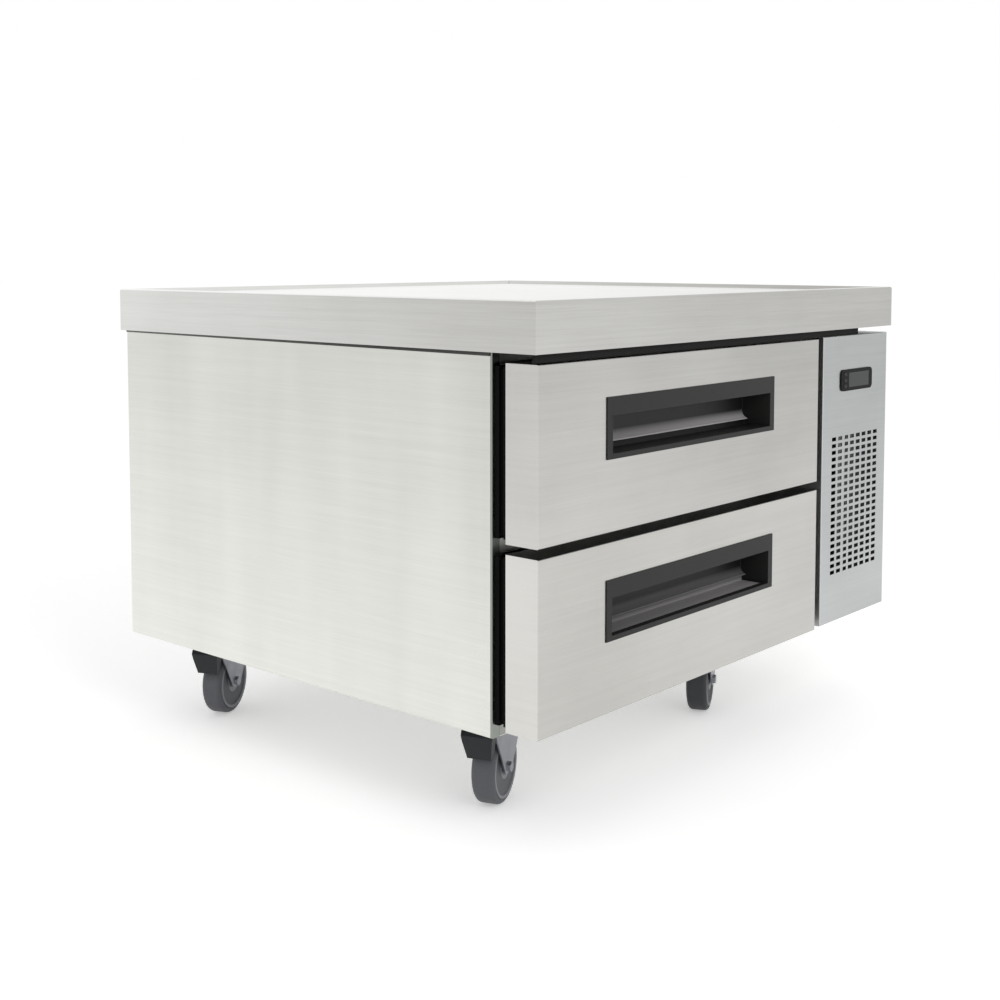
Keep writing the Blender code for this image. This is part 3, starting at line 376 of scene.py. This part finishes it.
def screw(name, middle, axis):
    """A pan-head screw's head, with a crossed slot."""
    middle, axis = Vector(middle), Vector(axis)
    outer = middle + axis * screw_height
    head = cylinder(name, middle + axis * screw_height / 2, axis, screw_radius, screw_height, 24)
    pick(head, "EDGE", lambda e: abs((middle_of(e) - outer).dot(axis)) < screw_height / 4)
    bpy.ops.mesh.bevel(offset=screw_height * dome_share, segments=4, affect="EDGES")
    across = Vector((axis.y, axis.z, axis.x))
    third = axis.cross(across)
    for long, short in ((across, third), (third, across)):
        reach = long * screw_radius * slot_reach_share + short * screw_radius * slot_half_share
        reach = Vector(map(abs, reach)) + Vector(map(abs, axis)) * screw_height * slot_depth_share
        slot = cube(name + "_slot", outer - reach, outer + reach)
        modify(head, "BOOLEAN", object=slot, operation="DIFFERENCE", solver="EXACT")
        bpy.data.objects.remove(slot)
    smooth(head)
    return head


def plated(name, dark, light, roughness=0.32, shift=0.0):
    """Bright zinc plating, with soft clouds."""
    made = Finish(name, roughness, metallic=1.0)
    clouds = made.noise(35, detail=4, shift=shift)
    grain = made.noise(900, detail=2, shift=shift)
    made.feed(made.shader, {
        "Base Color": made.mixed(clouds * 1.6 - 0.3, colour(dark), colour(light)),
        "Roughness": roughness - 0.08 + clouds * 0.12 + grain * 0.06,
    })
    made.relief(grain, distance=0.00008, strength=0.3)
    return made


edge_inset, top_inset, middle_shares = 0.008, 0.045, (0.3, 0.66)
edge_x = (back_low.x + edge_inset, back_high.x - edge_inset)
middle_x = [back_low.x + (back_high.x - back_low.x) * share for share in middle_shares]
edge_z = (back_low.z + edge_inset, back_high.z - top_inset)
spots = [(x, z) for x in edge_x for z in (edge_z[0], (edge_z[0] + edge_z[1]) / 2, edge_z[1])]
spots += [(x, z) for x in middle_x for z in edge_z]
first_spot = Vector((spots[0][0], back_high.y, spots[0][1]))
back_screws = screw("back_screws", first_spot, (0, 1, 0))
copies(back_screws, [(x - first_spot.x, 0, z - first_spot.z) for x, z in spots[1:]])
bright_zinc = plated("bright_zinc", "8f9294", "b9babb")
fitted(back_screws, bright_zinc, "cabinet", "zinc_plated_steel")


# The divider between the cooled space and the condensing unit is a plain sheet of hot-dipped
# galvanised steel, riveted in like the outer sheets.
def galvanised(name, dark, light):
    """Hot-dipped sheet, whose zinc has set in spangles."""
    made = Finish(name, 0.42, metallic=1.0)
    spangle = made.cells(95)
    dull = made.noise(9, detail=4)
    made.feed(made.shader, {
        "Base Color": made.mixed(spangle * 0.6 + dull * 0.4, colour(dark), colour(light)),
        "Roughness": 0.34 + spangle * 0.10 + dull * 0.10,
    })
    made.relief(spangle, distance=0.00006, strength=0.25)
    return made


spangled = galvanised("spangled_zinc", "8d9193", "b6b9bb")
dress(spangled, "divider_panel")


# A bushing of black moulded nylon lines the hole for the supply in the back panel. It is pushed in
# from behind and snaps in place.
scuff_start = 0.66


def moulded(name, dark, light, roughness, grain=1400, shift=0.0, shine=0.5):
    """Moulded plastic or rubber: a fine texture, slow changes of tone, and faint scuffs."""
    made = Finish(name, roughness, **{"Specular IOR Level": shine})
    texture = made.noise(grain, detail=2, shift=shift)
    slow = made.noise(11, detail=4, shift=shift + 5)
    scuffs = made.noise(60, stretch=(1, 0.12, 1), detail=6, shift=shift + 9) > scuff_start
    made.base = made.mixed(slow * 0.7 + texture * 0.3, colour(dark), colour(light))
    made.feed(made.shader, {
        "Base Color": made.base,
        "Roughness": roughness - 0.08 + slow * 0.12 + texture * 0.05 + scuffs * 0.05,
    })
    made.relief(texture * 0.8 + slow * 0.2, distance=0.00015, strength=0.5)
    return made


dress(moulded("bushing_nylon", "161617", "232325", 0.5), "power_inlet")


# The cooled space is a foamed box: rigid foam between the outer sheets and a liner of thin bright
# stainless, open at the front.
def foam_finish(name, dark, light):
    """Cut polyurethane foam, with open cells in its face."""
    made = Finish(name, 0.9)
    cells, slow = made.cells(420), made.noise(14, detail=4)
    tone = made.mixed(cells * 0.5 + slow * 0.5, colour(dark), colour(light))
    made.feed(made.shader, {"Base Color": tone})
    made.relief(cells, distance=0.0006, strength=0.6)
    return made


dress(foam_finish("cut_foam", "c8ad70", "e3cd95"), "insulation")
liner_sheet = brushed("liner_sheet", "d2d3d1", "ebebe9", shift=5.0, roughness=0.40, cloud=0.2,
                      metallic=0.75)
dress(liner_sheet, "inner_liner")

# Each drawer runs on two telescopic slides: a galvanised channel on the rack, a zinc-plated middle
# channel, and a runner on the pan frame. The racks' posts hang on the liner's walls.
dress(spangled, "left_slide_rack", "right_slide_rack")
rail_zinc = plated("rail_zinc", "9a9c9d", "c4c5c4", shift=2.0)
rails = [f"{level}_{side}_mid_rail" for level in ("upper", "lower") for side in ("left", "right")]
dress(rail_zinc, *rails)

# Each pan frame is a folded stainless tray with a front well and a rear well for food pans. Its sides
# carry the slides' runners.
dress(brushed("frame_steel", "bcbdbb", "dadad7", shift=6.0, roughness=0.28),
      "upper_pan_frame", "lower_pan_frame")


# The drawer fronts are shallow brushed pans filled with foam, closed behind by a pressed liner. A thick
# magnetic seal runs round the back of each, and a moulded pull is set into its face.
merge_gap, flat_angle = 0.00001, radians(1)


def copy_of(node, name):
    """A copy of a CAD node's mesh, with its doubles merged and its flat faces made whole."""
    piece = bpy.data.objects.new(name, nodes[node].data.copy())
    piece.data.name = name
    bpy.context.scene.collection.objects.link(piece)
    only(piece)
    bpy.ops.mesh.customdata_custom_splitnormals_clear()
    bpy.ops.object.mode_set(mode="EDIT")
    bpy.ops.mesh.select_all(action="SELECT")
    bpy.ops.mesh.remove_doubles(threshold=merge_gap)
    bpy.ops.mesh.dissolve_limited(angle_limit=flat_angle)
    bpy.ops.object.mode_set(mode="OBJECT")
    return piece


# Each front's sheet is painted lighter towards its foot and on its side faces, the upper one also
# towards the left, and the two fronts' tones differ a little: painted light.
drawer_sheet = {
    "upper": brushed("upper_front_sheet", "a8a7a4", "d3d2cf", shift=8.0, fade=(-0.28, 0, -0.5),
                     about=(-0.43, 0, 0.45), side=0.2),
    "lower": brushed("lower_front_sheet", "abaaa6", "d4d3cf", shift=9.0, fade=(0, 0, -0.2),
                     about=(-0.43, 0, 0.25), side=0.5),
}
# The faces of each front that look up and down are painted dark grey, as painted shade in the gaps
# between the fronts.
painted_gap_shade = "6a6b69"
for sheet in drawer_sheet.values():
    sheet.recolour(sheet.facing("Z"), painted_gap_shade)

# A pale band along the foot of each pull's pocket is painted light, where the pocket's curved floor
# catches the light. Its depth and rise are measured from the pull's face and foot.
pocket_half, painted_ledge_light, light_at_left, light_gain = 0.1848, "b4b1b1", 0.7, 0.5
painted_light_band = {
    "upper": {"depth": 0.028, "rise": 0.0155, "height": 0.0145, "light_share": 1.2},
    "lower": {"depth": 0.010, "rise": 0.0066, "height": 0.0220, "light_share": 0.6},
}


def pull_plastic(level, depth, rise, height, light_share):
    """Black moulded plastic, with painted light: a paler band that fades upwards and is palest at the
    right.
    """
    made = moulded(f"{level}_pull_plastic", "141413", "20201f", 0.42, grain=1600, shift=3.0, shine=0.25)
    low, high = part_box(f"{level}_drawer_handle")
    foot = (low.x, low.y + depth, low.z + rise)
    above = made.along((0, 0, 1 / height), foot)
    inside = made.along((0, 1, 0), foot) > 0
    rightward = made.along((light_gain / (high.x - low.x), 0, 0), foot) + light_at_left
    across = made.along((1, 0, 0), ((low.x + high.x) / 2, 0, 0))
    inside = inside * (1 - (across * across > pocket_half ** 2))
    in_band = (above > 0) * (1 - above) * (1 - above > 0)
    made.recolour(in_band * inside * rightward * light_share, painted_ledge_light)
    return made


seal_rubber = moulded("seal_rubber", "050505", "0c0c0c", 0.78, grain=900, shift=2.0, shine=0.1)
liner_margin, liner_press, pull_edge = 0.040, 0.002, 0.0007
for level in ("upper", "lower"):
    body = f"{level}_drawer"
    dress(drawer_sheet[level], f"{level}_drawer_front")
    dress(seal_rubber, f"{level}_gasket")

    inner = copy_of(f"{level}_drawer_core", f"{level}_drawer_liner")
    pick(inner, "FACE", lambda f: f.normal.y > 0.9)
    bpy.ops.mesh.inset(thickness=liner_margin, depth=0)
    bpy.ops.mesh.inset(thickness=liner_press, depth=-liner_press)
    soften(inner, liner_press / 4)
    fitted(inner, liner_sheet, body, "liner_stainless", f"{level}_drawer_core")

    pull = copy_of(f"{level}_drawer_handle", f"{level}_drawer_pull")
    soften(pull, pull_edge, segments=3)
    lit_plastic = pull_plastic(level, **painted_light_band[level])
    fitted(pull, lit_plastic, body, "black_plastic", f"{level}_drawer_handle")

# The control panel is one folded sheet with punched slots for the condenser's air. Its controller is a
# snap-in digital thermostat: a black moulded bezel, a smoked window and three soft keys.
# The control sheet is painted lighter towards its foot and on its side returns: painted light.
dress(brushed("control_sheet", "989b9b", "c4c6c6", shift=10.0, fade=(0, 0, -0.65), about=(0, 0, 0.48),
              side=0.6), "control_panel")
case_low, case_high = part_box("controller_case")
bezel_back, bezel_corner, bezel_edge, least_depth, touching = 0.0025, 0.0075, 0.0006, 0.0005, 1e-8


def on_bezel_corner(edge):
    """True for the edges that run deep at the left and right ends of the case's front."""
    middle = middle_of(edge)
    at_end = (middle.x - case_low.x) * (case_high.x - middle.x) < touching
    return at_end and span_of(edge).y > least_depth and middle.y < case_low.y + bezel_back


bezel = copy_of("controller_case", "controller_bezel")
pick(bezel, "EDGE", on_bezel_corner)
bpy.ops.mesh.bevel(offset=bezel_corner, segments=5, affect="EDGES")
soften(bezel, bezel_edge)
bezel_plastic = moulded("bezel_plastic", "040405", "0b0b0c", 0.5, grain=1800, shift=4.0, shine=0.12)
fitted(bezel, bezel_plastic, "cabinet", "black_plastic", "controller_case")


def smoked(name, dark, light):
    """Smoked acrylic over an unlit display, with a little dust."""
    made = Finish(name, 0.08, **{
        "Coat Weight": 0.1, "Coat Roughness": 0.05, "Specular IOR Level": 0.25})
    dust, slow = made.noise(700, detail=4), made.noise(40, detail=2)
    made.feed(made.shader, {
        "Base Color": made.mixed(slow * 0.8 + dust * 0.2, colour(dark), colour(light)),
        "Roughness": 0.06 + dust * 0.10,
    })
    return made


window_width, window_height, window_depth, window_inset = 0.068, 0.024, 0.0005, 0.011
window_gap, window_sink, window_lap, window_edge = 0.0003, 0.0001, 0.0002, 0.0002
window_right = case_high.x - window_inset
window_left = window_right - window_width
window_half = window_height / 2 - window_gap
case_middle = (case_low.z + case_high.z) / 2
window_low = (window_left + window_gap, case_low.y + window_sink, case_middle - window_half)
window_high = (window_right - window_gap, case_low.y + window_depth + window_lap,
               case_middle + window_half)
window = cube("controller_window", window_low, window_high)
soften(window, window_edge)
fitted(window, smoked("smoked_window", "16181a", "2c2f30"), "cabinet", "black_plastic")

key_plastic = moulded("key_plastic", "101012", "1b1b1d", 0.5, grain=1500, shift=5.0, shine=0.3)
key_edge = 0.0006
for key in ("down_key", "set_key", "up_key"):
    cap = copy_of(key, key + "_cap")
    soften(cap, key_edge, segments=3)
    fitted(cap, key_plastic, key, "key_plastic", key)


# The condensing unit stands on a galvanised tray behind the slots: a finned coil with its shroud and
# fan, a black welded compressor, and brazed copper lines with a filter drier.
def finned(name, dark, light):
    """The edges of thin aluminium fins."""
    made = Finish(name, 0.38, metallic=1.0)
    edges, dust = made.noise(1300, stretch=(1, 0.02, 0.02), detail=2), made.noise(18, detail=4)
    made.feed(made.shader, {
        "Base Color": made.mixed(edges * 0.5 + dust * 0.5, colour(dark), colour(light)),
        "Roughness": 0.30 + dust * 0.16,
    })
    made.relief(edges, distance=0.0003, strength=0.5)
    return made


def tarnished(name, dark, light):
    """Copper tube, browned where it was handled and brazed."""
    made = Finish(name, 0.3, metallic=1.0)
    stain = made.noise(45, detail=5)
    made.feed(made.shader, {
        "Base Color": made.mixed(stain * 1.8 - 0.4, colour(dark), colour(light)),
        "Roughness": 0.22 + stain * 0.22,
    })
    made.relief(stain, distance=0.0001, strength=0.3)
    return made


dress(finned("coil_fins", "a3a5a7", "cfd1d2"), "condenser_coil", "evaporator_coil")
dress(spangled, "condensing_unit_tray", "condenser_shroud")
dress(moulded("baked_enamel", "121213", "1f1f21", 0.36, grain=260, shift=6.0),
      "compressor", "condenser_fan_motor", "evaporator_fan_motor")
dress(moulded("fan_plastic", "28282b", "37373b", 0.48, grain=1200, shift=7.0),
      "condenser_fan", "evaporator_fan")
dress(tarnished("copper_tube", "8a4a2c", "c9835c"), "discharge_line", "suction_line", "filter_drier")

# The evaporator hangs on the cooled space's back wall under a stainless cover, and its fan blows
# forward through a wire guard of welded rings.
dress(liner_sheet, "evaporator_cover")
cover_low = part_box("evaporator_cover")[0]
fan_low, fan_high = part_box("evaporator_fan")
guard_radii, wire, guard_gap = (0.012, 0.026, 0.040, 0.054, 0.068), 0.0011, 0.0035
spoke_turns, spoke_length, spoke_lap = (45, 135), guard_radii[-1] * 2.1, wire * 1.6
foot_share, foot_radius, foot_length, foot_back = 1.02, wire * 2.2, 0.0034, 0.0019
guard_middle = Vector(((fan_low.x + fan_high.x) / 2, cover_low.y - guard_gap,
                       (fan_low.z + fan_high.z) / 2))
spoke_middle = guard_middle + Vector((0, spoke_lap, 0))
guard_parts = []
for radius in guard_radii:
    nothing_selected()
    bpy.ops.mesh.primitive_torus_add(major_radius=radius, minor_radius=wire, major_segments=48,
                                     minor_segments=8, location=guard_middle, rotation=(pi / 2, 0, 0))
    guard_parts.append(settled("guard_ring"))
for turn in spoke_turns:
    reach = Vector((cos(radians(turn)), 0, sin(radians(turn))))
    guard_parts.append(cylinder("guard_wire", spoke_middle, reach, wire, spoke_length, 8))
    for side in (-1, 1):
        foot = guard_middle + reach * side * guard_radii[-1] * foot_share + Vector((0, foot_back, 0))
        guard_parts.append(cylinder("guard_foot", foot, (0, 1, 0), foot_radius, foot_length, 12))
guard = guard_parts[0]
only(guard)
for part in guard_parts:
    part.select_set(True)
bpy.ops.object.join()
guard.name = guard.data.name = "evaporator_fan_guard"
smooth(guard, 50)
fitted(guard, bright_zinc, "cabinet", "zinc_plated_steel")

# The worktop is one heavy brushed sheet with a raised marine edge and a deep folded skirt, welded and
# polished at its corners.
# Its top is painted lighter, its sides a little darker and its rear faces darker, and its tone lighter
# towards the left and the back: painted light and shade.
dress(brushed("worktop_sheet", "b4b3b0", "f3f3f1", shift=12.0, fade=(-0.23, 0.52, 0),
              about=(-0.46, 0.04, 0), up=0.55, side=-0.08, rear=-0.42, cloud=0.25), "worktop")

# A dark strip under each side of the worktop, at the skirt's foot, is painted shade: it stands in for
# the shade line there. It is thinner towards the back, and painted paler there, where that shade is
# weaker.
skirt_foot, strip_height, strip_depth, strip_swell = 0.612, 0.0030, 0.0022, 0.0022
strip_inset, strip_gap, strip_edge = 0.002, 0.0002, 0.0006
fade_slope, fade_start, weak_shade_tone = 1.1, -0.15, "9fa09c"
painted_seam_shade = moulded("painted_seam_shade", "515250", "5f605d", 0.85, grain=900, shift=2.0, shine=0.1)
painted_seam_shade.recolour(painted_seam_shade.along((0, fade_slope, 0), (0, fade_start, 0)), weak_shade_tone)
for side, name in ((-1, "left"), (1, "right")):
    side_low, side_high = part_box(f"{name}_side_panel")
    face = side_low.x if side < 0 else side_high.x
    inner_x, outer_x = sorted((face, face + side * strip_depth))
    strip = cube(f"{name}_worktop_shade_strip",
                 (inner_x, side_low.y + strip_inset, skirt_foot - strip_height),
                 (outer_x, side_high.y - strip_inset, skirt_foot - strip_gap))
    pick(strip, "EDGE", lambda e: middle_of(e).y < side_low.y + strip_inset * 1.5
         and middle_of(e).z < skirt_foot - strip_height * 0.9)
    bpy.ops.transform.translate(value=(0, 0, -strip_swell))
    soften(strip, strip_edge)
    fitted(strip, painted_seam_shade, "cabinet", "gasket_rubber")

# A black rubber wiper hangs from the worktop over the drawers and closes the gap above them; its black
# also stands in for the shade in that gap, as painted shade. Its foot leans in over the upper front's
# top edge.
front_low, front_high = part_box("upper_drawer_front")
wiper_inset, wiper_face, wiper_back, wiper_lift = 0.001, 0.006, 0.0085, 0.0012
wiper_lean, wiper_edge, wiper_gap, wiper_end_share, nearly = 0.003, 0.0005, 0.0002, 0.58, 0.0001
wiper_foot = front_high.z + wiper_lift
wiper_right = panel_low.x + (panel_high.x - panel_low.x) * wiper_end_share
wiper = cube("drawer_wiper_seal", (front_low.x + wiper_inset, front_low.y + wiper_face, wiper_foot),
             (wiper_right, front_low.y + wiper_back, skirt_foot - wiper_gap))
pick(wiper, "EDGE", lambda e: middle_of(e).z < wiper_foot + nearly
     and middle_of(e).y > front_low.y + wiper_back - nearly)
bpy.ops.transform.translate(value=(0, wiper_lean, 0))
soften(wiper, wiper_edge)
wiper_rubber = moulded("wiper_rubber", "181817", "272726", 0.7, grain=900, shift=13.0, shine=0.15)
fitted(wiper, wiper_rubber, "cabinet", "gasket_rubber")

# Each castor has a bolted plate, a zinc-plated fork on a ball race, a grey tyre on its own rim, and a
# black moulded brake pedal on a pin between the fork's cheeks. The tyres on the right are painted
# darker, as painted shade under the cabinet.
tyre_grey = {
    "left": moulded("left_tyre_grey", "4f5055", "64656a", 0.55, grain=700, shift=8.0),
    "right": moulded("right_tyre_painted_shade", "323336", "45464a", 0.55, grain=700, shift=14.0, shine=0.35),
}
pedal_black = moulded("pedal_black", "0f1215", "1d2024", 0.45, grain=1300, shift=9.0, shine=0.35)
fork_zinc = plated("fork_zinc", "77787f", "a2a3a9", roughness=0.36, shift=4.0)
rim_grey = moulded("rim_grey", "75767b", "8d8e94", 0.42, grain=1000, shift=10.0)
plate_wall, bolt_across, bolt_height, bolt_x, bolt_y = 0.0032, 0.0062, 0.004, 0.036, 0.0225
bolt_edge, fork_edge, pedal_edge, rim_edge = 0.0005, 0.0009, 0.0012, 0.0004
wheel_radius, wheel_width, wheel_sides = 0.050, 0.032, 56
tyre_shoulder, tyre_lip, tyre_step = 0.0068, 0.0009, 0.0012
rim_radius, rim_proud, square_on = 0.0424, 0.0006, 0.999
# The insets and depths of the rim's steps, from its edge to its hub.
rim_steps = ((0.0042, 0), (0.0012, -0.0042), (0.0010, 0), (0.0140, -0.0008),
             (0.0040, 0), (0.0010, 0.0040), (0.0040, 0), (0.0005, 0.0006))
for castor in ("front_left", "front_right", "rear_left", "rear_right"):
    plate_low, plate_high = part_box(f"{castor}_castor_plate")
    dress(bright_zinc, f"{castor}_castor_plate")
    middle = (plate_low + plate_high) / 2
    bolt_middle = (middle.x - bolt_x, middle.y - bolt_y, plate_high.z - plate_wall - bolt_height / 2)
    bolt = cylinder(f"{castor}_castor_bolts", bolt_middle, (0, 0, 1), bolt_across, bolt_height, 6)
    soften(bolt, bolt_edge)
    copies(bolt, [(x, y, 0) for x, y in ((bolt_x * 2, 0), (0, bolt_y * 2), (bolt_x * 2, bolt_y * 2))])
    fitted(bolt, bright_zinc, "cabinet", "zinc_plated_steel")

    fork = copy_of(f"{castor}_fork", f"{castor}_castor_fork")
    soften(fork, fork_edge, segments=3)
    fitted(fork, fork_zinc, f"{castor}_fork", "zinc_plated_steel", f"{castor}_fork")

    axle, across = [Vector(joints[f"{castor}_roll"][key]) for key in ("pos_m", "axis")]
    tyre = cylinder(f"{castor}_tyre", axle, across, wheel_radius, wheel_width, wheel_sides)
    pick(tyre, "EDGE", lambda e: abs(abs((middle_of(e) - axle).dot(across)) - wheel_width / 2) < nearly)
    bpy.ops.mesh.bevel(offset=tyre_shoulder, segments=6, affect="EDGES")
    pick(tyre, "FACE", lambda f: abs(f.normal.dot(across)) > square_on)
    bpy.ops.mesh.inset(thickness=tyre_lip, depth=-tyre_step)
    smooth(tyre, 25)
    fitted(tyre, tyre_grey[castor.split("_")[1]], f"{castor}_wheel", "grey_tyre", f"{castor}_wheel")

    rim = cylinder(f"{castor}_rim", axle, across, rim_radius, wheel_width + rim_proud * 2, wheel_sides)
    pick(rim, "FACE", lambda f: abs(f.normal.dot(across)) > square_on)
    for thickness, depth in rim_steps:
        bpy.ops.mesh.inset(thickness=thickness, depth=depth)
    soften(rim, rim_edge, angle=25)
    fitted(rim, rim_grey, f"{castor}_wheel", "grey_tyre")

    pedal = copy_of(f"{castor}_pedal", f"{castor}_brake_pedal")
    soften(pedal, pedal_edge, segments=3, angle=25)
    fitted(pedal, pedal_black, f"{castor}_pedal", "pedal_plastic", f"{castor}_pedal")

# The stage: a wide pale floor that keeps the object's shadow, a white surround, and one soft lamp in
# front, above the camera.
floor_size, floor_drop, floor_white, floor_change, floor_glow = 60, 0.0004, 0.90, 0.01, 0.36
nothing_selected()
bpy.ops.mesh.primitive_plane_add(size=floor_size, location=(0, 0, -floor_drop))
floor = settled("floor")
floor_paint = Finish("floor_paint", 1.0, **{"Specular IOR Level": 0.0})
darker, lighter = [(floor_white + change,) * 3 + (1,) for change in (-floor_change, floor_change)]
seen = floor_paint.node("LightPath", output="Is Camera Ray")
for ray in ("Is Glossy Ray", "Is Transmission Ray"):
    seen = seen + floor_paint.node("LightPath", output=ray)
floor_paint.feed(floor_paint.shader, {
    "Base Color": floor_paint.mixed(floor_paint.noise(3), darker, lighter),
    "Emission Color": floor_paint.mixed(seen, (0, 0, 0, 1), (1, 1, 1, 1)),
    "Emission Strength": floor_glow,
})
floor.data.materials.append(floor_paint.material)

surround = 0.72
world = bpy.data.worlds.new("studio")
bpy.context.scene.world = world
world.use_nodes = True
background = world.node_tree.nodes["Background"]
background.inputs["Color"].default_value = (1, 1, 1, 1)
path = world.node_tree.nodes.new("ShaderNodeLightPath")
strength = path.outputs["Is Camera Ray"]
for ray in ("Is Glossy Ray", "Is Transmission Ray"):
    either = world.node_tree.nodes.new("ShaderNodeMath")
    either.operation = "MAXIMUM"
    world.node_tree.links.new(strength, either.inputs[0])
    world.node_tree.links.new(path.outputs[ray], either.inputs[1])
    strength = either.outputs[0]
lit = world.node_tree.nodes.new("ShaderNodeMapRange")
lit.inputs["To Min"].default_value = surround
world.node_tree.links.new(strength, lit.inputs["Value"])
world.node_tree.links.new(lit.outputs["Result"], background.inputs["Strength"])

lamp_place, lamp_aim = Vector((-1.1, -3.0, 2.3)), Vector((0, 0, 0.35))
bpy.ops.object.light_add(type="AREA", location=lamp_place)
lamp = bpy.context.object
lamp.data.size, lamp.data.energy = 1.6, 30
lamp.rotation_euler = (lamp_aim - lamp_place).to_track_quat("-Z", "Y").to_euler()

bpy.context.scene.view_settings.view_transform = "Standard"
